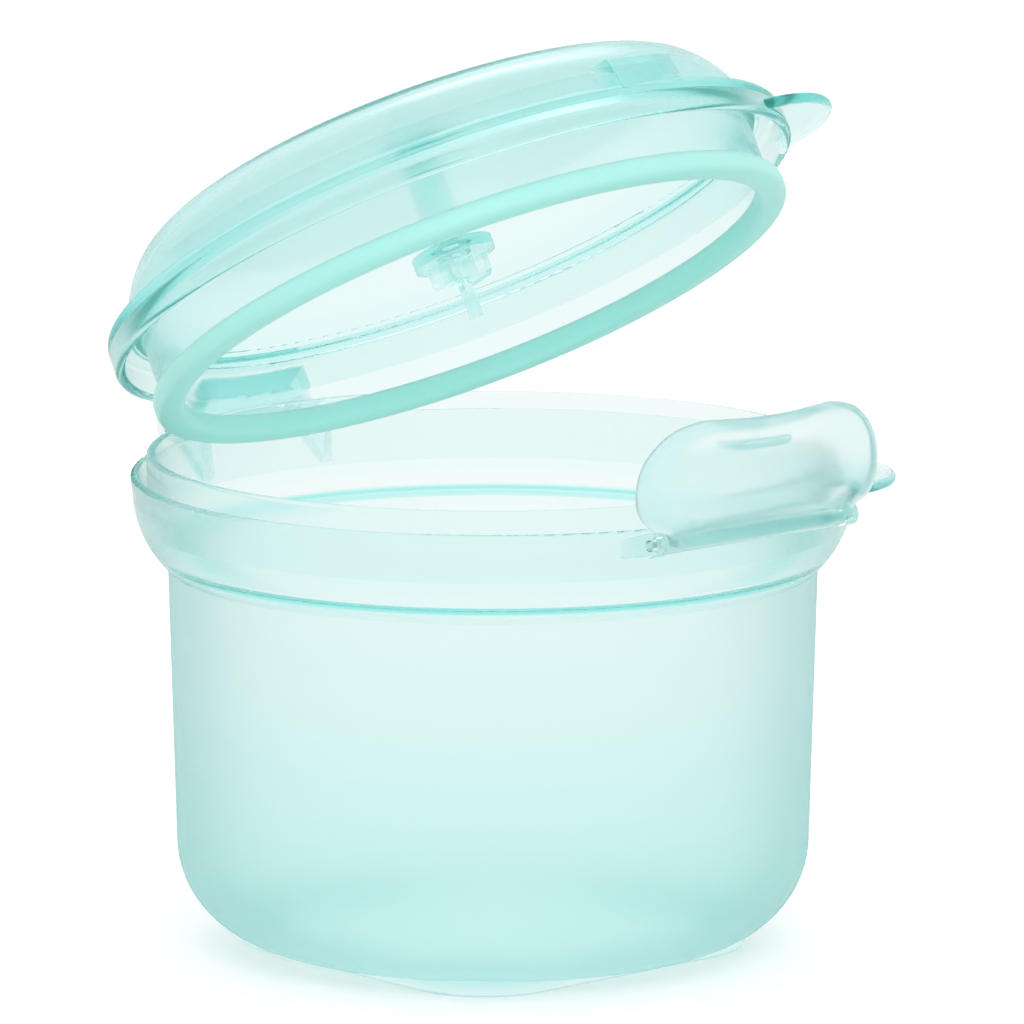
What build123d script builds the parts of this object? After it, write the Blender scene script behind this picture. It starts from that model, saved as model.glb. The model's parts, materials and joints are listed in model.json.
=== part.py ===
"""Formula dispenser: a frosted pot with a hinged snap lid, a sealing ring and a front latch.

Millimetres, +Z up. The origin is the centre of the foot's underside. The lid hinge is at +Y
and the latch at -Y. The lid is shown part open and the latch upright; both are drawn
as they stand when shut, then turned about their hinge pins.
"""

import os
from math import cos, radians, sin

from build123d import *

# ---- Driving dimensions -------------------------------------------------------------------
# pot body and neck
neck_outer = 43.0
neck_wall = 1.0
neck_inner = neck_outer - neck_wall
rim_height = 62.6
shelf_height = 50.2
body_wall = 1.2
body_top_outer = 40.4
body_low_outer = 39.45
body_top_height = 48.2
bottom_radius = 12.6
bottom_height = 1.2

# gutter round the neck
gutter_outer = 45.0
gutter_wall = 1.0
gutter_height = 60.0
gutter_floor = 53.8
flare_middle = (43.5, 52.3)
flare_end = (44.75, 57.4)
shelf_round = 0.8
shelf_edge_round = 0.6

# rounded square foot
foot_half = 25.5
foot_corner = 11.0
foot_height = 2.2
foot_recess_half = 23.9
foot_recess_floor = 1.2
foot_recess_corner = 9.4
foot_edge_round = 0.5

# thumb tabs, one on the pot and one on the lid, side by side with the latch
tab_angle = -45.0
pot_tab_radius = 13.1
pot_tab_tip = 50.0
pot_tab_top = 60.2
pot_tab_thickness = 1.3
lid_tab_radius = 13.8
lid_tab_tip = 50.5
lid_tab_base = 61.25
lid_tab_thickness = 1.4

# lid hinge
lid_hinge_y = 49.3
lid_hinge_z = 60.34
lid_rest_angle = 30.6
lid_pin_radius = 0.9
lid_knuckle_radius = 2.0
lid_knuckle_half = 8.9
hinge_ear_inner = 9.2
hinge_ear_width = 2.0
hinge_ear_radius = 2.2
hinge_gusset_low = 54.0
hinge_gusset_root = 43.5

# lid shell, in its shut position
skirt_outer = 44.6
skirt_inner = 43.35
skirt_low = 60.5
ledge_under = 63.8
ledge_top = 65.3
plug_outer = 40.1
plug_inner = 38.9
plug_low = 54.6
dome_outer = 41.1
dome_top = 75.0
lid_wall = 1.2
dome_shoulder = (39.9, 69.2)
dome_shoulder_end = (37.2, 72.7)
crown_round_end = (32.5, 74.5)
ceiling_round_start = (31.9, 73.3)
ceiling_round_middle = (35.9, 71.9)
ceiling_round_end = (38.3, 68.6)
corner_round = 0.6
catch_width = 9.9
catch_top = 68.8
catch_round = 0.6
catch_foot_front = 44.3
catch_top_front = 43.2
catch_top_back = 39.4
catch_foot_back = 40.6
catch_sink = 0.9
post_radius = 2.2
post_low = 62.0
spigot_radius = 1.1
spigot_low = 60.8

# sealing ring
ring_outer = 41.6
ring_inner = 37.8
ring_low = 53.5
ring_high = 56.7
ring_round = 1.4
ring_clearance = 0.02

# snap clip under the lid
clip_disc_radius = 5.2
clip_disc_low = 60.4
clip_finger_gap = 2.3
clip_finger_thickness = 0.9
clip_finger_half = 2.2
clip_finger_low = 57.2
clip_block_half = 1.5
clip_block_low = 57.6
clip_pin_half = 0.7
clip_pin_low = 52.6
clip_overlap = 0.3
clip_pin_round = 0.25

# latch, drawn upright
latch_pivot_y = -46.6
latch_pivot_z = 58.9
latch_rest_angle = 2.0
latch_half = 19.9
latch_height = 14.3
latch_corner = 6.9
latch_dip = 0.4
latch_flank = (18.8, 4.5)
latch_root_drop = 0.2
latch_web_high = 1.75
latch_web_root = 1.0
latch_root_half = 14.6
latch_root_rise = 1.75
latch_barrel_radius = 1.35
latch_pin_radius = 0.7
latch_curve_radius = 95.0
latch_thickness = 1.95
latch_face = 3.95
latch_hook_half = 5.95
latch_hook_low = 10.5
latch_hook_high = 12.0
latch_hook_reach = 2.9
latch_ear_gap = 0.3
latch_ear_width = 1.8
latch_ear_radius = 1.5
latch_gusset_low = 56.6
latch_gusset_root = -41.6

pin_fit = 0.02
running_fit = 0.08

lid_hinge_axis = Axis((0, lid_hinge_y, lid_hinge_z), (-1, 0, 0))
latch_hinge_axis = Axis((0, latch_pivot_y, latch_pivot_z), (1, 0, 0))


def thumb_tab(tip, radius, base, thickness, root):
    """Round-edged tongue on the tabs' bearing, from the root radius out to the tip radius."""
    reach = tip - radius
    bearing = Vector(cos(radians(tab_angle)), sin(radians(tab_angle)), 0)
    centre = reach * bearing + Vector(0, 0, base + thickness / 2)
    with BuildPart() as tongue:
        with BuildSketch(Plane(origin=centre, x_dir=bearing, z_dir=(bearing.Y, -bearing.X, 0))):
            with BuildLine():
                Line((0, -thickness / 2), (radius - thickness / 2, -thickness / 2))
                ThreePointArc(
                    (radius - thickness / 2, -thickness / 2),
                    (radius, 0),
                    (radius - thickness / 2, thickness / 2),
                )
                Line((radius - thickness / 2, thickness / 2), (0, thickness / 2))
                Line((0, thickness / 2), (0, -thickness / 2))
            make_face()
        revolve(axis=Axis(centre, (0, 0, 1)))
        with BuildSketch(Plane.XY.offset(base - thickness)):
            Circle(root)
        extrude(amount=3 * thickness, mode=Mode.SUBTRACT)
    return tongue.part


# ---- Pot ----------------------------------------------------------------------------------
body_low_height = bottom_height + bottom_radius
inner_radius = bottom_radius - body_wall
arc_centre = body_low_outer - bottom_radius
shelf_inner = body_top_outer - body_wall
diagonal = 0.5**0.5

pot_tab = thumb_tab(
    pot_tab_tip,
    pot_tab_radius,
    pot_tab_top - pot_tab_thickness,
    pot_tab_thickness,
    gutter_outer - gutter_wall / 2,
)

with BuildPart() as cup:
    with BuildSketch(Plane.XZ) as wall:
        with BuildLine():
            # outside: floor, bottom round, side, flare, gutter edge
            floor_out = Line((0, bottom_height), (arc_centre, bottom_height))
            ThreePointArc(
                floor_out @ 1,
                (arc_centre + bottom_radius * diagonal, body_low_height - bottom_radius * diagonal),
                (body_low_outer, body_low_height),
            )
            side_out = Line((body_low_outer, body_low_height), (body_top_outer, body_top_height))
            flare = ThreePointArc(side_out @ 1, flare_middle, flare_end)
            Line(flare @ 1, (gutter_outer, gutter_height - gutter_wall / 2))
            ThreePointArc(
                (gutter_outer, gutter_height - gutter_wall / 2),
                (gutter_outer - gutter_wall / 2, gutter_height),
                (gutter_outer - gutter_wall, gutter_height - gutter_wall / 2),
            )
            Line((gutter_outer - gutter_wall, gutter_height - gutter_wall / 2), (neck_outer, gutter_floor))
            # neck and its rounded rim
            Line((neck_outer, gutter_floor), (neck_outer, rim_height - neck_wall / 2))
            ThreePointArc(
                (neck_outer, rim_height - neck_wall / 2),
                (neck_outer - neck_wall / 2, rim_height),
                (neck_inner, rim_height - neck_wall / 2),
            )
            # inside: neck, shelf, side, bottom round, floor
            Line((neck_inner, rim_height - neck_wall / 2), (neck_inner, shelf_height + shelf_round))
            RadiusArc(
                (neck_inner, shelf_height + shelf_round),
                (neck_inner - shelf_round, shelf_height),
                shelf_round,
            )
            Line((neck_inner - shelf_round, shelf_height), (shelf_inner + shelf_edge_round, shelf_height))
            RadiusArc(
                (shelf_inner + shelf_edge_round, shelf_height),
                (shelf_inner, shelf_height - shelf_edge_round),
                -shelf_edge_round,
            )
            Line(
                (shelf_inner, shelf_height - shelf_edge_round),
                (body_low_outer - body_wall, body_low_height),
            )
            ThreePointArc(
                (body_low_outer - body_wall, body_low_height),
                (arc_centre + inner_radius * diagonal, body_low_height - inner_radius * diagonal),
                (arc_centre, bottom_height + body_wall),
            )
            Line((arc_centre, bottom_height + body_wall), (0, bottom_height + body_wall))
            Line((0, bottom_height + body_wall), (0, bottom_height))
        make_face()
    revolve(axis=Axis.Z)

    # rounded square foot, with the floor inside sunk into it
    with BuildSketch():
        RectangleRounded(2 * foot_half, 2 * foot_half, foot_corner)
    extrude(amount=foot_height)
    with BuildSketch(Plane.XY.offset(foot_recess_floor)):
        RectangleRounded(2 * foot_recess_half, 2 * foot_recess_half, foot_recess_corner)
    extrude(amount=bottom_height + body_wall - foot_recess_floor, mode=Mode.SUBTRACT)
    fillet(cup.edges().group_by(Axis.Z)[0], radius=foot_edge_round)

    add(pot_tab)

    # hinge ears at the back, each with a pointed gusset under it
    for side in (-1, 1):
        ear_start = side * hinge_ear_inner if side > 0 else -(hinge_ear_inner + hinge_ear_width)
        with BuildSketch(Plane.YZ.offset(ear_start)):
            with BuildLine():
                Polyline(
                    (hinge_gusset_root + 0.2, gutter_height - 0.2),
                    (lid_hinge_y - 1.6, lid_hinge_z + 1.2),
                    (lid_hinge_y + 1.4, lid_hinge_z - 1.4),
                    (hinge_gusset_root, hinge_gusset_low),
                    close=True,
                )
            make_face()
            with Locations((lid_hinge_y, lid_hinge_z)):
                Circle(hinge_ear_radius)
        extrude(amount=hinge_ear_width)
    with BuildSketch(Plane.YZ):
        with Locations((lid_hinge_y, lid_hinge_z)):
            Circle(lid_pin_radius + pin_fit)
    extrude(amount=hinge_ear_inner + hinge_ear_width, both=True, mode=Mode.SUBTRACT)

    # latch ears at the front
    for side in (-1, 1):
        ear_low = latch_root_half + latch_ear_gap
        ear_start = ear_low if side > 0 else -(ear_low + latch_ear_width)
        with BuildSketch(Plane.YZ.offset(ear_start)):
            with BuildLine():
                Polyline(
                    (latch_gusset_root + 0.4, latch_pivot_z - 0.1),
                    (latch_pivot_y + 0.5, latch_pivot_z + 1.41),
                    (latch_pivot_y - 1.1, latch_pivot_z - 1.02),
                    (latch_gusset_root, latch_gusset_low),
                    close=True,
                )
            make_face()
            with Locations((latch_pivot_y, latch_pivot_z)):
                Circle(latch_ear_radius)
        extrude(amount=latch_ear_width)
    with BuildSketch(Plane.YZ):
        with Locations((latch_pivot_y, latch_pivot_z)):
            Circle(latch_pin_radius + pin_fit)
    extrude(amount=latch_root_half + latch_ear_gap + latch_ear_width, both=True, mode=Mode.SUBTRACT)

# ---- Lid ----------------------------------------------------------------------------------
lid_tab = thumb_tab(lid_tab_tip, lid_tab_radius, lid_tab_base, lid_tab_thickness, skirt_outer - 0.6)

with BuildPart() as shut_lid:
    with BuildSketch(Plane.XZ) as shell:
        with BuildLine():
            # outside: skirt, shoulder, dome side, dome round, crown
            skirt_edge = ThreePointArc(
                (skirt_inner, skirt_low + corner_round),
                ((skirt_inner + skirt_outer) / 2, skirt_low),
                (skirt_outer, skirt_low + corner_round),
            )
            Line(skirt_edge @ 1, (skirt_outer - 0.1, ledge_top - 1.5))
            ThreePointArc(
                (skirt_outer - 0.1, ledge_top - 1.5),
                (skirt_outer - 0.5, ledge_top - 0.4),
                (skirt_outer - 1.6, ledge_top),
            )
            Line((skirt_outer - 1.6, ledge_top), (dome_outer + 0.5, ledge_top + 0.2))
            RadiusArc((dome_outer + 0.5, ledge_top + 0.2), (dome_outer, ledge_top + 0.7), -0.5)
            dome_side = ThreePointArc((dome_outer, ledge_top + 0.7), dome_shoulder, dome_shoulder_end)
            crown_round = TangentArc(dome_side @ 1, crown_round_end, tangent=dome_side % 1)
            TangentArc((0, dome_top), crown_round @ 1, tangent=(1, 0))
            # inside: ceiling, dome, plug wall
            Line((0, dome_top), (0, dome_top - lid_wall))
            ceiling = TangentArc((0, dome_top - lid_wall), ceiling_round_start, tangent=(1, 0))
            inner_round = ThreePointArc(ceiling @ 1, ceiling_round_middle, ceiling_round_end)
            Line(inner_round @ 1, (plug_inner, ledge_under + corner_round))
            Line((plug_inner, ledge_under + corner_round), (plug_inner, plug_low))
            Line((plug_inner, plug_low), (plug_outer, plug_low))
            Line((plug_outer, plug_low), (plug_outer, ledge_under - corner_round))
            RadiusArc(
                (plug_outer, ledge_under - corner_round),
                (plug_outer + corner_round, ledge_under),
                corner_round,
            )
            Line((plug_outer + corner_round, ledge_under), (skirt_inner, ledge_under))
            Line((skirt_inner, ledge_under), skirt_edge @ 0)
        make_face()
    revolve(axis=Axis.Z)

    # centre post with its spigot
    with BuildSketch(Plane.XY.offset(post_low)):
        Circle(post_radius)
    extrude(amount=dome_top - 0.6 - post_low)
    with BuildSketch(Plane.XY.offset(spigot_low)):
        Circle(spigot_radius)
    extrude(amount=post_low - spigot_low)

    add(lid_tab)

    # catch that the latch hooks over
    with BuildSketch(Plane.YZ) as catch_profile:
        with BuildLine():
            Polyline(
                (-catch_foot_front, ledge_top - catch_sink),
                (-catch_top_front, catch_top),
                (-catch_top_back, catch_top),
                (-catch_foot_back, ledge_top - catch_sink),
                close=True,
            )
        make_face()
        fillet(catch_profile.vertices().sort_by(Axis.X)[1], radius=catch_round)
    extrude(amount=catch_width / 2, both=True)

    # knuckle and its arm
    with BuildSketch(Plane.YZ):
        with BuildLine():
            Polyline(
                (44.0, ledge_top - 1.5),
                (lid_hinge_y + 0.9, lid_hinge_z + 1.79),
                (lid_hinge_y - 1.0, lid_hinge_z - 1.0),
                (44.0, skirt_low + 0.3),
                close=True,
            )
        make_face()
        with Locations((lid_hinge_y, lid_hinge_z)):
            Circle(lid_knuckle_radius)
    extrude(amount=lid_knuckle_half, both=True)
    with BuildSketch(Plane.YZ):
        with Locations((lid_hinge_y, lid_hinge_z)):
            Circle(lid_pin_radius + running_fit)
    extrude(amount=lid_knuckle_half, both=True, mode=Mode.SUBTRACT)

with BuildPart() as lid:
    add(shut_lid.part.rotate(lid_hinge_axis, lid_rest_angle))

# ---- Sealing ring, gripping the lower edge of the lid's plug ---------------------------------
with BuildPart() as shut_ring:
    with BuildSketch(Plane.XZ) as ring_section:
        with Locations(((ring_outer + ring_inner) / 2, (ring_high + ring_low) / 2)):
            Rectangle(ring_outer - ring_inner, ring_high - ring_low)
        fillet(ring_section.vertices().group_by(Axis.Y)[0], radius=ring_round)
        fillet(ring_section.vertices().group_by(Axis.Y)[-1], radius=ring_round / 2)
    revolve(axis=Axis.Z)
    with BuildSketch(Plane.XY.offset(plug_low)):
        Circle(plug_outer + ring_clearance)
        Circle(plug_inner - ring_clearance, mode=Mode.SUBTRACT)
    extrude(amount=ring_high - plug_low + 1.0, mode=Mode.SUBTRACT)

with BuildPart() as lid_gasket:
    add(shut_ring.part.rotate(lid_hinge_axis, lid_rest_angle))

# ---- Snap clip on the lid's centre post ------------------------------------------------------
with BuildPart() as shut_clip:
    with BuildSketch(Plane.XY.offset(clip_disc_low)):
        Circle(clip_disc_radius)
    extrude(amount=post_low - clip_disc_low)
    with BuildSketch(Plane.XY.offset(spigot_low)):
        Circle(spigot_radius + pin_fit)
    extrude(amount=post_low - spigot_low, mode=Mode.SUBTRACT)
    for side in (-1, 1):
        face_x = side * clip_finger_gap
        with BuildSketch(Plane.XZ.offset(-clip_finger_half)):
            with BuildLine():
                Polyline(
                    (face_x, clip_disc_low + clip_overlap),
                    (face_x + side * clip_finger_thickness, clip_disc_low + clip_overlap),
                    (face_x + side * (clip_finger_thickness + 0.1), clip_finger_low + 0.9),
                    (face_x + side * 0.4, clip_finger_low),
                    (face_x - side * 0.45, clip_finger_low + 0.5),
                    (face_x, clip_finger_low + 1.2),
                    close=True,
                )
            make_face()
        extrude(amount=2 * clip_finger_half)
    with BuildSketch(Plane.XY.offset(clip_block_low)):
        Rectangle(2 * clip_block_half, 2 * clip_block_half)
    extrude(amount=clip_disc_low + clip_overlap - clip_block_low)
    with BuildSketch(Plane.XY.offset(clip_pin_low)):
        RectangleRounded(2 * clip_pin_half, 2 * clip_pin_half, clip_pin_round)
    extrude(amount=clip_block_low + clip_overlap - clip_pin_low)

with BuildPart() as lid_clip:
    add(shut_clip.part.rotate(lid_hinge_axis, lid_rest_angle))

# ---- Latch ------------------------------------------------------------------------------------
with BuildPart() as upright_latch:
    # outline of the plate, seen from the front, as wide as the pot's curve
    with BuildSketch(Plane.XZ.offset(-latch_pivot_y - 6)):
        with BuildLine():
            top = latch_pivot_z + latch_height
            shoulder = latch_half - latch_corner
            root_low = latch_pivot_z - latch_root_drop
            root_high = latch_pivot_z + latch_root_rise
            Polyline((0, root_low), (latch_root_half, root_low), (latch_root_half, root_high))
            flank = ThreePointArc(
                (latch_root_half, root_high),
                (latch_flank[0], latch_pivot_z + latch_flank[1]),
                (latch_half, top - latch_corner),
            )
            corner = ThreePointArc(
                flank @ 1,
                (shoulder + latch_corner * diagonal, top - latch_corner * (1 - diagonal)),
                (shoulder, top),
            )
            TangentArc(corner @ 1, (shoulder / 2, top - latch_dip / 2), tangent=(-1, 0))
            TangentArc((0, top - latch_dip), (shoulder / 2, top - latch_dip / 2), tangent=(1, 0))
            mirror(about=Plane.YZ)
        make_face()
    extrude(amount=14)
    with BuildSketch(Plane.XY.offset(latch_pivot_z - 3)):
        with Locations((0, latch_pivot_y - latch_face + latch_curve_radius)):
            Circle(latch_curve_radius)
            Circle(latch_curve_radius - latch_thickness, mode=Mode.SUBTRACT)
    extrude(amount=latch_height + 8, mode=Mode.INTERSECT)
    # hook ledge
    with BuildSketch(Plane.XY.offset(latch_pivot_z + latch_hook_low)):
        with Locations((0, latch_pivot_y + (latch_hook_reach - latch_face) / 2)):
            Rectangle(2 * latch_hook_half, latch_hook_reach + latch_face - 0.6)
    extrude(amount=latch_hook_high - latch_hook_low)
    # web from the plate's root back to the barrel
    with BuildSketch(Plane.YZ):
        with BuildLine():
            Polyline(
                (latch_pivot_y, latch_pivot_z - latch_root_drop),
                (latch_pivot_y - latch_face + latch_thickness, latch_pivot_z - latch_root_drop),
                (latch_pivot_y - latch_face + latch_thickness, latch_pivot_z + latch_web_high),
                (latch_pivot_y, latch_pivot_z + latch_web_root),
                close=True,
            )
        make_face()
    extrude(amount=latch_root_half, both=True)
    # barrel
    with BuildSketch(Plane.YZ):
        with Locations((latch_pivot_y, latch_pivot_z)):
            Circle(latch_barrel_radius)
    extrude(amount=latch_root_half, both=True)
    with BuildSketch(Plane.YZ):
        with Locations((latch_pivot_y, latch_pivot_z)):
            Circle(latch_pin_radius + running_fit)
    extrude(amount=latch_half, both=True, mode=Mode.SUBTRACT)

with BuildPart() as latch:
    add(upright_latch.part.rotate(latch_hinge_axis, latch_rest_angle))

# ---- Hinge pins -------------------------------------------------------------------------------
with BuildPart() as lid_hinge_pin:
    with BuildSketch(Plane.YZ):
        with Locations((lid_hinge_y, lid_hinge_z)):
            Circle(lid_pin_radius)
    extrude(amount=hinge_ear_inner + hinge_ear_width, both=True)

with BuildPart() as latch_hinge_pin:
    with BuildSketch(Plane.YZ):
        with Locations((latch_pivot_y, latch_pivot_z)):
            Circle(latch_pin_radius)
    extrude(amount=latch_root_half + latch_ear_gap + latch_ear_width, both=True)

# ---- Write one STEP file for each piece -------------------------------------------------------
os.makedirs("parts", exist_ok=True)

cup.part.label = "cup"
export_step(cup.part, "parts/cup.step")
lid.part.label = "lid"
export_step(lid.part, "parts/lid.step")
lid_gasket.part.label = "lid_gasket"
export_step(lid_gasket.part, "parts/lid_gasket.step")
lid_clip.part.label = "lid_clip"
export_step(lid_clip.part, "parts/lid_clip.step")
latch.part.label = "latch"
export_step(latch.part, "parts/latch.step")
lid_hinge_pin.part.label = "lid_hinge_pin"
export_step(lid_hinge_pin.part, "parts/lid_hinge_pin.step")
latch_hinge_pin.part.label = "latch_hinge_pin"
export_step(latch_hinge_pin.part, "parts/latch_hinge_pin.step")
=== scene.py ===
"""Formula dispenser: plastics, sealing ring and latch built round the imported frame."""

import json

import bmesh
import bpy
import numpy as np
from bpy.props import FloatProperty, FloatVectorProperty, PointerProperty
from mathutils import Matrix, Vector


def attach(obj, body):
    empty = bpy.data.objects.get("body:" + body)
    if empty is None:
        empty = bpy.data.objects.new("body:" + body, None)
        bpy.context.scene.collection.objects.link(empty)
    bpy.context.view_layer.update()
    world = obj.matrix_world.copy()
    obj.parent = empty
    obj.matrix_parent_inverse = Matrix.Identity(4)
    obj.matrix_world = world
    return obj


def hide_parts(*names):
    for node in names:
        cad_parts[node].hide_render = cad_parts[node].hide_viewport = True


bl_info = {
    "name": "Formula dispenser",
    "version": (1, 0, 0),
    "blender": (4, 5, 0),
    "location": "3D View > Sidebar > Dispenser",
    "description": "Finishes a frosted powder pot with a clear hinged lid",
    "category": "Object",
}

MM = 0.001
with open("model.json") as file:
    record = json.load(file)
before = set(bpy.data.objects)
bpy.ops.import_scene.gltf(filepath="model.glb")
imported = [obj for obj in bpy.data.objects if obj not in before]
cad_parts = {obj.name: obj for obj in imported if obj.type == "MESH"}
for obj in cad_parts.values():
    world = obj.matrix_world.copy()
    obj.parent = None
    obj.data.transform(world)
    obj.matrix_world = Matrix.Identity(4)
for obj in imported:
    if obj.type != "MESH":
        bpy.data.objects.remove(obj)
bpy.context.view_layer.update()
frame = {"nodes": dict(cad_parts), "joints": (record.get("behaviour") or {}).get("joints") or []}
joints = {joint["name"]: joint for joint in frame["joints"]}
LID_PIVOT = np.array(joints["lid_hinge"]["pos_m"])
LATCH_PIVOT = np.array(joints["latch_hinge"]["pos_m"])
LID_OPEN = np.radians(-joints["lid_hinge"]["range_deg"][0])
TONE_TOP = 64.0 * MM
# height in mm and paleness: deep at the foot, paler up the side, and a painted shade line along the crease
# at the neck's ledge
TONES_AND_LEDGE_SHADE = ((14.0, 0.3), (34.0, 0.9), (49.5, 1.0), (49.8, -2.6), (50.3, -2.6), (50.6, 1.0))
FROST_TOP = (48.2 * MM, 49.4 * MM)
LID_DEPTH = 1.5  # the lid's colour density over the pot's
LATCH_FROST = 0.7  # the latch's roughness over the pot's
PLASTIC_IOR = 1.18
RUBBER_IOR = 1.48

# half of the latch plate's outline, from its top's middle to its root's middle, in mm from the pin
LATCH_OUTLINE = (
    (0.0, 14.6), (4.0, 14.68), (8.0, 14.9), (11.2, 14.92), (15.3, 13.7), (18.5, 10.8), (19.7, 7.4),
    (19.35, 4.2), (17.6, 2.2), (15.5, 1.5), (14.2, 0.5), (12.6, -0.2), (8.0, -0.2), (4.0, -0.2),
    (0.0, -0.2),
)
LATCH_MIDDLE = (0.0, 7.0 * MM)
OUTLINE_STEPS = 10
# the plate's rings, as shares of the way out from its middle
PLATE_RINGS = (0.0, 0.2, 0.4, 0.55, 0.68, 0.78, 0.86, 0.92, 0.97, 1.0)
LIP_HEIGHT, LIP_PLACE, LIP_WIDTH = 0.12 * MM, 0.9, 0.09
DISH_DEPTH, DISH_REACH = 0.28 * MM, 0.78
HOOK_HEIGHT = 11.1 * MM
HOOK_SIZE = (4.1 * MM, 2.4 * MM, 0.6 * MM)
HOOK_OUTWARD = -0.25 * MM
WEB_HEIGHT = 0.6 * MM
WEB_SIZE = (14.5 * MM, 1.35 * MM, 0.75 * MM)
WEB_OUTWARD = 1.45 * MM
BARREL_BORE = 0.78 * MM
BARREL_OUTSIDE = 1.35 * MM
MOULDING_GRAIN = 0.16 * MM


# ---- Settings -------------------------------------------------------------------------------
class DispenserSizes(bpy.types.PropertyGroup):
    """Sizes of the soft ring and the latch, drawn with the lid shut and the latch upright."""

    ring_outer: FloatProperty(
        name="Ring outer radius", description="Widest radius of the ring", default=41.6 * MM, unit="LENGTH"
    )
    ring_inner: FloatProperty(
        name="Ring inner radius",
        description="Narrowest radius of the ring",
        default=37.8 * MM,
        unit="LENGTH",
    )
    ring_low: FloatProperty(
        name="Ring underside",
        description="Height of the ring's underside",
        default=53.5 * MM,
        unit="LENGTH",
    )
    ring_high: FloatProperty(
        name="Ring top", description="Height of the ring's top", default=56.7 * MM, unit="LENGTH"
    )
    latch_tilt: FloatProperty(
        name="Latch tilt",
        description="How far the latch leans outwards",
        default=np.radians(2.0),
        unit="ROTATION",
    )
    latch_thickness: FloatProperty(
        name="Latch thickness", description="Thickness of the latch plate", default=1.95 * MM, unit="LENGTH"
    )
    latch_face: FloatProperty(
        name="Latch face",
        description="How far the plate's face stands before its pin",
        default=3.95 * MM,
        unit="LENGTH",
    )
    latch_curve: FloatProperty(
        name="Latch curve radius",
        description="Radius of the plate's bend",
        default=95.0 * MM,
        unit="LENGTH",
    )
    latch_root: FloatProperty(
        name="Barrel half length",
        description="Half the length of the hinge barrel",
        default=14.6 * MM,
        unit="LENGTH",
    )


class DispenserFinish(bpy.types.PropertyGroup):
    """Colours and finishes of the plastics."""

    plastic_colour: FloatVectorProperty(
        name="Plastic colour",
        description="Colour of the plastic's surface haze",
        default=(0.955, 0.99, 0.985),
        subtype="COLOR",
    )
    low_colour: FloatVectorProperty(
        name="Low colour",
        description="Colour of the plastic at the foot, where it is moulded thickest",
        default=(0.80, 0.965, 0.95),
        subtype="COLOR",
    )
    absorbed_colour: FloatVectorProperty(
        name="Depth colour",
        description="What a thick piece of the plastic lets through",
        default=(0.06, 0.89, 0.86),
        subtype="COLOR",
    )
    absorption: FloatProperty(
        name="Depth density",
        description="How fast the plastic takes on its colour, per metre",
        default=52.0,
    )
    seal_colour: FloatVectorProperty(
        name="Ring colour",
        description="Colour of the soft ring",
        default=(0.48, 0.99, 0.83),
        subtype="COLOR",
    )
    gloss: FloatProperty(
        name="Glossy roughness", description="Roughness of the glossy parts", default=0.18, subtype="FACTOR"
    )
    frost: FloatProperty(
        name="Frosted roughness",
        description="Roughness of the frosted parts",
        default=0.42,
        subtype="FACTOR",
    )


# ---- Mesh helpers ---------------------------------------------------------------------------
def grid_mesh(name, points, wrap_rows, wrap_columns):
    """Mesh of a rows x columns x 3 grid: quads join each point to the next one along both ways."""
    rows, columns = points.shape[:2]
    index = np.arange(rows * columns).reshape(rows, columns)
    if wrap_rows:
        index = np.vstack([index, index[:1]])
    if wrap_columns:
        index = np.hstack([index, index[:, :1]])
    quads = np.stack([index[:-1, :-1], index[:-1, 1:], index[1:, 1:], index[1:, :-1]], axis=-1)
    return mesh_object(name, points.reshape(-1, 3), quads.reshape(-1, 4))


def mesh_object(name, vertices, faces):
    """Smooth-shaded object at the origin from arrays, with doubles merged and faces turned outwards."""
    mesh = bpy.data.meshes.new(name)
    mesh.from_pydata(vertices.tolist(), [], faces.tolist())
    solid = bmesh.new()
    solid.from_mesh(mesh)
    bmesh.ops.remove_doubles(solid, verts=solid.verts, dist=1e-6)
    bmesh.ops.recalc_face_normals(solid, faces=solid.faces)
    solid.to_mesh(mesh)
    solid.free()
    mesh.shade_smooth()
    piece = bpy.data.objects.new(name, mesh)
    bpy.context.scene.collection.objects.link(piece)
    return piece


def turned_about_x(points, pivot, angle):
    """Points turned about a line along X through the pivot, by the right-hand rule."""
    y = points[..., 1] - pivot[1]
    z = points[..., 2] - pivot[2]
    turned = points.copy()
    turned[..., 1] = pivot[1] + y * np.cos(angle) - z * np.sin(angle)
    turned[..., 2] = pivot[2] + y * np.sin(angle) + z * np.cos(angle)
    return turned


def smooth_loop(corners, steps):
    """Closed curve through the corners: each span is the cubic sloped by half its neighbours' chord."""
    before, after = np.roll(corners, 1, axis=0), np.roll(corners, -1, axis=0)
    beyond = np.roll(corners, -2, axis=0)
    t = (np.arange(steps) / steps)[:, None, None]
    curve = 0.5 * (
        2 * corners
        + (after - before) * t
        + (2 * before - 5 * corners + 4 * after - beyond) * t**2
        + (3 * corners - before - 3 * after + beyond) * t**3
    )
    return curve.transpose(1, 0, 2).reshape(-1, corners.shape[1])


def joined(name, pieces):
    """One object from several pieces' meshes, all of which lie at the origin."""
    solid = bmesh.new()
    for piece in pieces:
        solid.from_mesh(piece.data)
        bpy.data.objects.remove(piece)
    mesh = bpy.data.meshes.new(name)
    solid.to_mesh(mesh)
    solid.free()
    mesh.shade_smooth()
    whole = bpy.data.objects.new(name, mesh)
    bpy.context.scene.collection.objects.link(whole)
    return whole


# ---- Materials ------------------------------------------------------------------------------
def new_material(name):
    """A material with only its output, and its node tree."""
    material = bpy.data.materials.new(name)
    material.use_nodes = True
    tree = material.node_tree
    tree.nodes.clear()
    output = tree.nodes.new("ShaderNodeOutputMaterial")
    return material, tree, output


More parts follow.
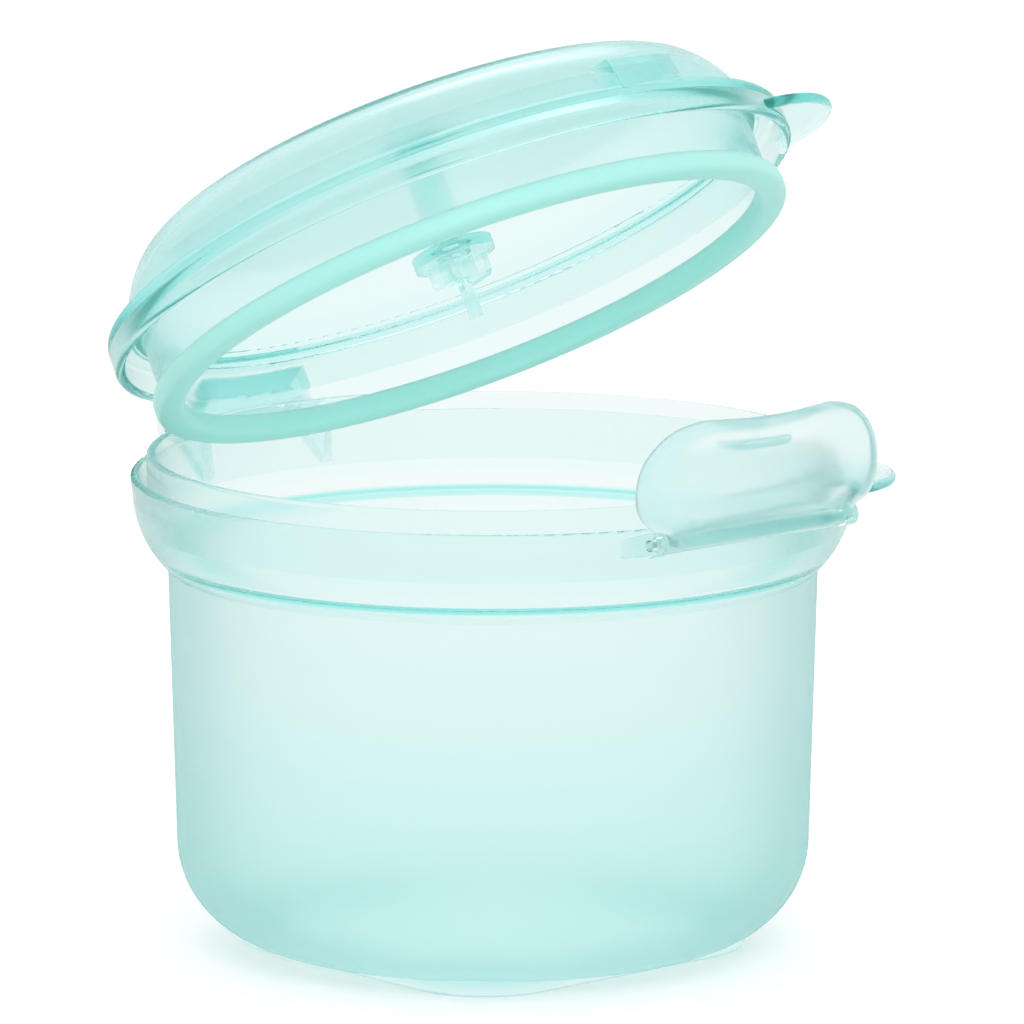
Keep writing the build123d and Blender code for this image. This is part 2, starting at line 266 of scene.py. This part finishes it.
def clear_plastic(name, colour, low_colour, depth_colour, density, roughness, clarity, grain, wave):
    """Translucent plastic: glassy share, colour by depth, tone by height with a painted shade line at the
    neck's ledge, fine grain, slow waves.

    roughness is a number, or a (low, high, start, end) ramp over the height in metres.
    """
    material, tree, output = new_material(name)
    shader = tree.nodes.new("ShaderNodeBsdfPrincipled")
    shader.inputs["IOR"].default_value = PLASTIC_IOR
    shader.inputs["Transmission Weight"].default_value = clarity
    tree.links.new(shader.outputs["BSDF"], output.inputs["Surface"])
    depth = tree.nodes.new("ShaderNodeVolumeAbsorption")
    depth.inputs["Color"].default_value = (*depth_colour, 1)
    depth.inputs["Density"].default_value = density
    tree.links.new(depth.outputs["Volume"], output.inputs["Volume"])

    place = tree.nodes.new("ShaderNodeTexCoord")
    axes = tree.nodes.new("ShaderNodeSeparateXYZ")
    tree.links.new(place.outputs["Object"], axes.inputs["Vector"])
    rise = tree.nodes.new("ShaderNodeMapRange")
    rise.inputs["From Max"].default_value = TONE_TOP
    tree.links.new(axes.outputs["Z"], rise.inputs["Value"])
    tone = tree.nodes.new("ShaderNodeValToRGB")
    tone.color_ramp.elements[0].color = (*low_colour, 1)
    tone.color_ramp.elements[1].color = (*colour, 1)
    # steps with paleness below 0 paint shade along the crease at the neck's ledge
    for height, shade in TONES_AND_LEDGE_SHADE:
        step = tone.color_ramp.elements.new(height * MM / TONE_TOP)
        step.color = [low + (high - low) * shade for low, high in zip((*low_colour, 1), (*colour, 1))]
    tree.links.new(rise.outputs["Result"], tone.inputs["Fac"])
    tree.links.new(tone.outputs["Color"], shader.inputs["Base Color"])
    mottle = tree.nodes.new("ShaderNodeTexNoise")
    mottle.inputs["Scale"].default_value = 90.0
    mottle.inputs["Detail"].default_value = 3.0
    tree.links.new(place.outputs["Object"], mottle.inputs["Vector"])
    spread = tree.nodes.new("ShaderNodeMapRange")
    spread.inputs["To Min"].default_value = -0.02
    spread.inputs["To Max"].default_value = 0.02
    tree.links.new(mottle.outputs["Fac"], spread.inputs["Value"])
    rough = tree.nodes.new("ShaderNodeMath")
    rough.operation = "ADD"
    rough.use_clamp = True
    tree.links.new(spread.outputs["Result"], rough.inputs[0])
    if isinstance(roughness, tuple):
        low, high, start, end = roughness
        ramp = tree.nodes.new("ShaderNodeMapRange")
        ramp.interpolation_type = "SMOOTHSTEP"
        ramp.inputs["From Min"].default_value = start
        ramp.inputs["From Max"].default_value = end
        ramp.inputs["To Min"].default_value = low
        ramp.inputs["To Max"].default_value = high
        tree.links.new(axes.outputs["Z"], ramp.inputs["Value"])
        tree.links.new(ramp.outputs["Result"], rough.inputs[1])
    else:
        rough.inputs[1].default_value = roughness
    tree.links.new(rough.outputs["Value"], shader.inputs["Roughness"])

    fine = tree.nodes.new("ShaderNodeTexNoise")
    fine.inputs["Scale"].default_value = 1600.0
    fine.inputs["Detail"].default_value = 2.0
    tree.links.new(place.outputs["Object"], fine.inputs["Vector"])
    grain_bump = tree.nodes.new("ShaderNodeBump")
    grain_bump.inputs["Strength"].default_value = grain
    grain_bump.inputs["Distance"].default_value = 0.05 * MM
    tree.links.new(fine.outputs["Fac"], grain_bump.inputs["Height"])
    slow = tree.nodes.new("ShaderNodeTexNoise")
    slow.inputs["Scale"].default_value = 45.0
    slow.inputs["Detail"].default_value = 1.0
    tree.links.new(place.outputs["Object"], slow.inputs["Vector"])
    wave_bump = tree.nodes.new("ShaderNodeBump")
    wave_bump.inputs["Strength"].default_value = wave
    wave_bump.inputs["Distance"].default_value = 0.6 * MM
    tree.links.new(slow.outputs["Fac"], wave_bump.inputs["Height"])
    tree.links.new(grain_bump.outputs["Normal"], wave_bump.inputs["Normal"])
    tree.links.new(wave_bump.outputs["Normal"], shader.inputs["Normal"])
    return material


def soft_rubber(name, colour):
    """Satin elastomer: light goes a little way in, with a faint mottled tone and a fine matt grain."""
    material, tree, output = new_material(name)
    shader = tree.nodes.new("ShaderNodeBsdfPrincipled")
    shader.inputs["IOR"].default_value = RUBBER_IOR
    shader.inputs["Subsurface Weight"].default_value = 0.9
    shader.inputs["Subsurface Radius"].default_value = (0.6, 1.0, 0.9)
    shader.inputs["Subsurface Scale"].default_value = 4.0 * MM
    tree.links.new(shader.outputs["BSDF"], output.inputs["Surface"])
    place = tree.nodes.new("ShaderNodeTexCoord")
    mottle = tree.nodes.new("ShaderNodeTexNoise")
    mottle.inputs["Scale"].default_value = 120.0
    tree.links.new(place.outputs["Object"], mottle.inputs["Vector"])
    tone = tree.nodes.new("ShaderNodeValToRGB")
    tone.color_ramp.elements[0].position = 0.3
    tone.color_ramp.elements[0].color = (colour[0] * 0.96, colour[1] * 0.98, colour[2] * 0.98, 1)
    tone.color_ramp.elements[1].position = 0.7
    tone.color_ramp.elements[1].color = (*colour, 1)
    tree.links.new(mottle.outputs["Fac"], tone.inputs["Fac"])
    tree.links.new(tone.outputs["Color"], shader.inputs["Base Color"])
    rough = tree.nodes.new("ShaderNodeMapRange")
    rough.inputs["To Min"].default_value = 0.34
    rough.inputs["To Max"].default_value = 0.46
    tree.links.new(mottle.outputs["Fac"], rough.inputs["Value"])
    tree.links.new(rough.outputs["Result"], shader.inputs["Roughness"])
    fine = tree.nodes.new("ShaderNodeTexNoise")
    fine.inputs["Scale"].default_value = 2200.0
    tree.links.new(place.outputs["Object"], fine.inputs["Vector"])
    bump = tree.nodes.new("ShaderNodeBump")
    bump.inputs["Strength"].default_value = 0.15
    bump.inputs["Distance"].default_value = 0.03 * MM
    tree.links.new(fine.outputs["Fac"], bump.inputs["Height"])
    tree.links.new(bump.outputs["Normal"], shader.inputs["Normal"])
    return material


def dress(node, material):
    """Gives a carried-over piece its finish."""
    piece = frame["nodes"][node]
    piece.data.materials.clear()
    piece.data.materials.append(material)


# ---- Operators ------------------------------------------------------------------------------
class DISPENSER_OT_mouldings(bpy.types.Operator):
    """Finish the pot, the lid, the clip and the hinge pins"""

    bl_idname = "dispenser.mouldings"
    bl_label = "Mouldings"

    def execute(self, context):
        finish = context.scene.dispenser_finish
        colours = (tuple(finish.plastic_colour), tuple(finish.low_colour), tuple(finish.absorbed_colour))
        pot_ramp = (finish.frost, finish.gloss + 0.03, *FROST_TOP)
        pot = clear_plastic(
            "frosted_pot_plastic",
            *colours,
            finish.absorption,
            pot_ramp,
            clarity=0.99,
            grain=0.25,
            wave=0.05,
        )
        lid = clear_plastic(
            "clear_lid_plastic",
            *colours,
            finish.absorption * LID_DEPTH,
            finish.gloss,
            clarity=0.99,
            grain=0.0,
            wave=0.06,
        )
        dress("cup", pot)
        for node in ("lid", "lid_clip", "lid_hinge_pin", "latch_hinge_pin"):
            dress(node, lid)
        return {"FINISHED"}


class DISPENSER_OT_sealing_ring(bpy.types.Operator):
    """Build the soft ring on the lid's plug"""

    bl_idname = "dispenser.sealing_ring"
    bl_label = "Sealing ring"

    def execute(self, context):
        sizes = context.scene.dispenser_sizes
        ring = grid_mesh("sealing_ring", ring_points(sizes), True, True)
        finish = context.scene.dispenser_finish
        ring.data.materials.append(soft_rubber("mint_seal_rubber", finish.seal_colour))
        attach(ring, "lid")
        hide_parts("lid_gasket")
        return {"FINISHED"}


def ring_points(sizes):
    """Ring: a superellipse section, turned once round the lid's axis."""
    around = np.linspace(0, 2 * np.pi, 240, endpoint=False)[:, None]
    section = np.linspace(0, 2 * np.pi, 48, endpoint=False)[None, :]
    half_width = (sizes.ring_outer - sizes.ring_inner) / 2
    half_height = (sizes.ring_high - sizes.ring_low) / 2
    power = 0.72
    out = np.sign(np.cos(section)) * np.abs(np.cos(section)) ** power
    up = np.sign(np.sin(section)) * np.abs(np.sin(section)) ** power
    radius = (sizes.ring_outer + sizes.ring_inner) / 2 + half_width * out
    height = (sizes.ring_high + sizes.ring_low) / 2 + half_height * up
    points = np.stack(
        [radius * np.cos(around), radius * np.sin(around), height + 0 * around], axis=-1
    )
    return turned_about_x(points, LID_PIVOT, -LID_OPEN)


class DISPENSER_OT_latch(bpy.types.Operator):
    """Build the front latch with its barrel and hook"""

    bl_idname = "dispenser.latch"
    bl_label = "Latch"

    def execute(self, context):
        sizes = context.scene.dispenser_sizes
        finish = context.scene.dispenser_finish
        parts = [
            grid_mesh("plate", latch_plate_points(sizes), False, True),
            grid_mesh("barrel", latch_barrel_points(sizes), True, True),
            grid_mesh("hook", latch_hook_points(sizes), False, True),
            grid_mesh("web", latch_web_points(sizes), False, True),
        ]
        latch = joined("latch_body", parts)
        merge = latch.modifiers.new("one_moulding", "REMESH")
        merge.mode = "VOXEL"
        merge.voxel_size = MOULDING_GRAIN
        merge.use_smooth_shade = True
        colours = (tuple(finish.plastic_colour), tuple(finish.low_colour), tuple(finish.absorbed_colour))
        latch.data.materials.append(
            clear_plastic(
                "frosted_latch_plastic",
                *colours,
                finish.absorption,
                finish.frost * LATCH_FROST,
                clarity=0.98,
                grain=0.2,
                wave=0.05,
            )
        )
        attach(latch, "latch")
        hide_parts("latch")
        return {"FINISHED"}


def latch_in_place(across, height, outward, sizes):
    """Points from the latch's own across, up and outward distances from its pivot, leaning as it rests."""
    bent = outward - across**2 / (2 * sizes.latch_curve)
    points = np.stack([across, LATCH_PIVOT[1] - bent, LATCH_PIVOT[2] + height], axis=-1)
    return turned_about_x(points, LATCH_PIVOT, sizes.latch_tilt)


def latch_plate_points(sizes):
    """Plate: rings of its outline, from the front's middle round the rim's half circle to the back's."""
    half = np.array(LATCH_OUTLINE)
    corners = np.vstack([half, half[-2:0:-1] * (-1, 1)]) * MM
    outline = smooth_loop(corners, OUTLINE_STEPS)
    ahead = np.roll(outline, -1, axis=0) - np.roll(outline, 1, axis=0)
    normal = np.stack([-ahead[:, 1], ahead[:, 0]], axis=-1)
    normal /= np.linalg.norm(normal, axis=1, keepdims=True)
    rim = sizes.latch_thickness / 2
    inset = outline - normal * rim
    middle = np.array(LATCH_MIDDLE)

    share = np.array(PLATE_RINGS)[:, None, None]
    face = middle + (inset - middle) * share
    arc = np.linspace(0, np.pi, 11)[1:-1, None, None]
    edge = inset + normal * rim * np.sin(arc)
    flat = np.concatenate([face, edge, face[::-1]])
    lip = LIP_HEIGHT * np.exp(-(((share - LIP_PLACE) / LIP_WIDTH) ** 2))
    dish = -DISH_DEPTH * np.exp(-((share / DISH_REACH) ** 8))
    front = rim + lip + dish
    back = -front - dish
    depth = np.concatenate([front, rim * np.cos(arc), back[::-1]])[..., 0]
    outward = depth + np.zeros(len(outline)) + sizes.latch_face - rim
    return latch_in_place(flat[..., 0], flat[..., 1], outward, sizes)


def latch_barrel_points(sizes):
    """Barrel: a long rounded oblong section between the bore and the outside, turned once round the pin."""
    bore, outside, half = BARREL_BORE, BARREL_OUTSIDE, sizes.latch_root
    around = np.linspace(0, 2 * np.pi, 32, endpoint=False)[:, None]
    section = np.linspace(0, 2 * np.pi, 40, endpoint=False)[None, :]
    across_wall = np.sign(np.sin(section)) * np.abs(np.sin(section)) ** 0.3
    radius = (bore + outside) / 2 + (outside - bore) / 2 * across_wall
    along = half * np.sign(np.cos(section)) * np.abs(np.cos(section)) ** 0.04
    points = np.stack(
        [
            along + 0 * around,
            LATCH_PIVOT[1] + radius * np.cos(around),
            LATCH_PIVOT[2] + radius * np.sin(around),
        ],
        axis=-1,
    )
    return turned_about_x(points, LATCH_PIVOT, sizes.latch_tilt)


def rounded_bar_points(half_width, half_reach, half_height):
    """Bar: a superquadric, nearly square in every section, as grids of across, inward and up distances."""
    level = np.linspace(-np.pi / 2, np.pi / 2, 25)[:, None]
    around = np.linspace(0, 2 * np.pi, 64, endpoint=False)[None, :]
    power = 0.16
    ring = np.abs(np.cos(level)) ** power
    cosine = np.sign(np.cos(around)) * np.abs(np.cos(around)) ** power
    sine = np.sign(np.sin(around)) * np.abs(np.sin(around)) ** power
    across = half_width * np.sign(np.sin(level)) * np.abs(np.sin(level)) ** power + 0 * around
    return across, half_reach * ring * cosine, half_height * ring * sine


def latch_hook_points(sizes):
    """Hook: a rounded bar standing in from the back of the plate."""
    across, inward, up = rounded_bar_points(*HOOK_SIZE)
    unbent = across**2 / (2 * sizes.latch_curve)
    return latch_in_place(across, HOOK_HEIGHT + up, HOOK_OUTWARD + inward + unbent, sizes)


def latch_web_points(sizes):
    """Web: a rounded bar from the root of the plate back to the barrel."""
    across, inward, up = rounded_bar_points(*WEB_SIZE)
    unbent = across**2 / (2 * sizes.latch_curve)
    return latch_in_place(across, WEB_HEIGHT + up, WEB_OUTWARD + inward + unbent, sizes)


class DISPENSER_OT_stage(bpy.types.Operator):
    """Make the floor, the light and the camera"""

    bl_idname = "dispenser.stage"
    bl_label = "Stage"

    def execute(self, context):
        make_floor()
        make_light(context.scene)
        make_camera(context.scene)
        return {"FINISHED"}


def seen_directly(tree):
    """Two outputs: 1 for camera rays, and 1 for rays that met a mirror or see-through surface."""
    path = tree.nodes.new("ShaderNodeLightPath")
    either = tree.nodes.new("ShaderNodeMath")
    either.operation = "MAXIMUM"
    tree.links.new(path.outputs["Is Glossy Ray"], either.inputs[0])
    tree.links.new(path.outputs["Is Transmission Ray"], either.inputs[1])
    return path.outputs["Is Camera Ray"], either.outputs["Value"]


def make_floor():
    """A wide pale floor that keeps the object's soft shadow and shows white through the plastic."""
    size = 6.0
    corners = np.array([(-size, -size, 0), (size, -size, 0), (size, size, 0), (-size, size, 0)])
    mesh = bpy.data.meshes.new("floor")
    mesh.from_pydata(corners.tolist(), [], [(0, 1, 2, 3)])
    floor = bpy.data.objects.new("floor", mesh)
    bpy.context.scene.collection.objects.link(floor)
    material, tree, output = new_material("pale_floor")
    pale = tree.nodes.new("ShaderNodeBsdfDiffuse")
    pale.inputs["Color"].default_value = (0.8, 0.8, 0.8, 1)
    glow = tree.nodes.new("ShaderNodeEmission")
    glow.inputs["Strength"].default_value = 1.0
    lift = tree.nodes.new("ShaderNodeEmission")
    lift.inputs["Strength"].default_value = 0.35
    both = tree.nodes.new("ShaderNodeAddShader")
    tree.links.new(pale.outputs["BSDF"], both.inputs[0])
    tree.links.new(lift.outputs["Emission"], both.inputs[1])
    camera_ray, other_ray = seen_directly(tree)
    for_camera = tree.nodes.new("ShaderNodeMixShader")
    tree.links.new(camera_ray, for_camera.inputs["Fac"])
    tree.links.new(pale.outputs["BSDF"], for_camera.inputs[1])
    tree.links.new(both.outputs["Shader"], for_camera.inputs[2])
    for_others = tree.nodes.new("ShaderNodeMixShader")
    tree.links.new(other_ray, for_others.inputs["Fac"])
    tree.links.new(for_camera.outputs["Shader"], for_others.inputs[1])
    tree.links.new(glow.outputs["Emission"], for_others.inputs[2])
    tree.links.new(for_others.outputs["Shader"], output.inputs["Surface"])
    mesh.materials.append(material)


def make_light(scene):
    """White surroundings, and two soft lamps, high in front and behind."""
    world = bpy.data.worlds.new("studio")
    world.use_nodes = True
    tree = world.node_tree
    tree.nodes.clear()
    output = tree.nodes.new("ShaderNodeOutputWorld")
    seen = tree.nodes.new("ShaderNodeBackground")
    seen.inputs["Color"].default_value = (1, 1, 1, 1)
    seen.inputs["Strength"].default_value = 1.0
    lit = tree.nodes.new("ShaderNodeBackground")
    lit.inputs["Color"].default_value = (1, 1, 1, 1)
    lit.inputs["Strength"].default_value = 0.9
    camera_ray, other_ray = seen_directly(tree)
    any_ray = tree.nodes.new("ShaderNodeMath")
    any_ray.operation = "MAXIMUM"
    tree.links.new(camera_ray, any_ray.inputs[0])
    tree.links.new(other_ray, any_ray.inputs[1])
    mix = tree.nodes.new("ShaderNodeMixShader")
    tree.links.new(any_ray.outputs["Value"], mix.inputs["Fac"])
    tree.links.new(lit.outputs["Background"], mix.inputs[1])
    tree.links.new(seen.outputs["Background"], mix.inputs[2])
    tree.links.new(mix.outputs["Shader"], output.inputs["Surface"])
    scene.world = world
    target = Vector((0, 0, 60 * MM))
    # name, place in metres, width in metres and brightness
    lamps = (
        ("key_lamp", (-0.55, -0.75, 0.75), 0.45, 3.0),
        ("back_lamp", (0.5, 0.6, 0.8), 0.5, 1.2),
    )
    for name, place, size, radiance in lamps:
        lamp = bpy.data.lights.new(name, "AREA")
        lamp.size = size
        lamp.energy = radiance * np.pi * size * size
        holder = bpy.data.objects.new(name, lamp)
        holder.location = place
        holder.rotation_mode = "QUATERNION"
        holder.rotation_quaternion = (target - Vector(place)).to_track_quat("-Z", "Y")
        scene.collection.objects.link(holder)
    scene.view_settings.view_transform = "Standard"
    scene.cycles.max_bounces = 24
    scene.cycles.diffuse_bounces = 16
    scene.cycles.glossy_bounces = 16
    scene.cycles.transmission_bounces = 24


def make_camera(scene):
    """Long lens, a little above the rim, looking from the front left of the pot."""
    azimuth, elevation, distance = np.radians(-42.0), np.radians(10.43), 1.322
    target = Vector((0, 0, 54.64 * MM))
    back = Vector(
        (
            np.sin(azimuth) * np.cos(elevation),
            -np.cos(azimuth) * np.cos(elevation),
            np.sin(elevation),
        )
    )
    lens = bpy.data.cameras.new("camera")
    lens.lens = 374.0
    lens.sensor_width = 36.0
    lens.shift_x = 0.0186
    camera = bpy.data.objects.new("camera", lens)
    camera.location = target + back * distance
    camera.rotation_mode = "QUATERNION"
    camera.rotation_quaternion = (-back).to_track_quat("-Z", "Y")
    scene.collection.objects.link(camera)
    scene.camera = camera


class DISPENSER_PT_panel(bpy.types.Panel):
    """Buttons and settings of the formula dispenser"""

    bl_label = "Formula dispenser"
    bl_idname = "DISPENSER_PT_panel"
    bl_space_type = "VIEW_3D"
    bl_region_type = "UI"
    bl_category = "Dispenser"

    def draw(self, context):
        for operator in OPERATORS:
            self.layout.operator(operator.bl_idname)
        for settings in (context.scene.dispenser_sizes, context.scene.dispenser_finish):
            box = self.layout.box()
            for name in settings.__annotations__:
                box.prop(settings, name)


OPERATORS = (
    DISPENSER_OT_mouldings,
    DISPENSER_OT_sealing_ring,
    DISPENSER_OT_latch,
    DISPENSER_OT_stage,
)
CLASSES = (DispenserSizes, DispenserFinish, *OPERATORS, DISPENSER_PT_panel)


def register():
    for cls in CLASSES:
        bpy.utils.register_class(cls)
    bpy.types.Scene.dispenser_sizes = PointerProperty(type=DispenserSizes)
    bpy.types.Scene.dispenser_finish = PointerProperty(type=DispenserFinish)


def unregister():
    del bpy.types.Scene.dispenser_finish
    del bpy.types.Scene.dispenser_sizes
    for cls in reversed(CLASSES):
        bpy.utils.unregister_class(cls)


def main():
    """Makes every piece and the stage."""
    register()
    bpy.ops.dispenser.mouldings()
    bpy.ops.dispenser.sealing_ring()
    bpy.ops.dispenser.latch()
    bpy.ops.dispenser.stage()


if __name__ == "__main__":
    main()
